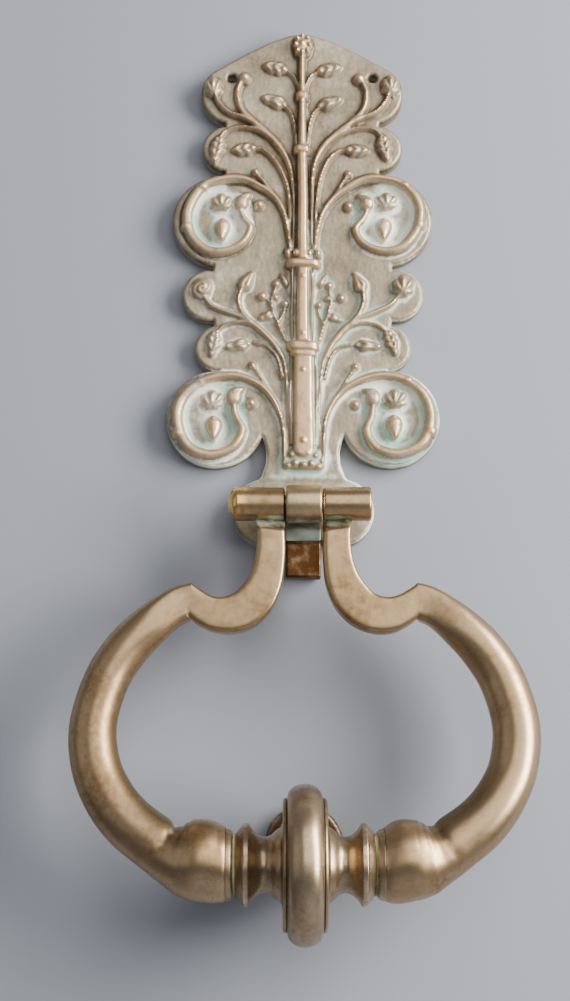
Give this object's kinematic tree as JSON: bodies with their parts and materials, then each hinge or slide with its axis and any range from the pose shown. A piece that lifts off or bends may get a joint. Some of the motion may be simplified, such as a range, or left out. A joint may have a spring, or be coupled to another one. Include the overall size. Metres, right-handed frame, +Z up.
{
  "type": "door knocker",
  "caption": "Cast bronze door knocker: a lobed back plate with tree and scroll relief, a hinge lug, and a swinging ring with a turned striker that falls on a strike disc.",
  "frame": {"origin": "mouth of the fixing hole in the back, on the centre line and level with the hinge axis", "axes": "+Z up the door, +X to the right seen from the front, +Y into the door; the door's face is Y = 0"},
  "size_m": [0.1242, 0.045, 0.2649],
  "materials": {
    "plate_bronze": "cast bronze, brown, with pale green in the hollows",
    "ring_bronze": "brown bronze, worn smooth and satin"
  },
  "bodies": {
    "door_side": {"backplate": "plate_bronze", "hinge_lug": "plate_bronze", "strike_plate": "ring_bronze"},
    "ring": {"hinge_pin": "ring_bronze", "striker": "ring_bronze", "left_hanger": "ring_bronze", "right_hanger": "ring_bronze", "left_bow": "ring_bronze", "right_bow": "ring_bronze"}
  },
  "joints": [
    {"name": "ring_swing", "type": "hinge", "parent": "door_side", "child": "ring", "pos_m": [0, -0.019, 0], "axis": [-1, 0, 0], "range_deg": [0, 165]}
  ]
}
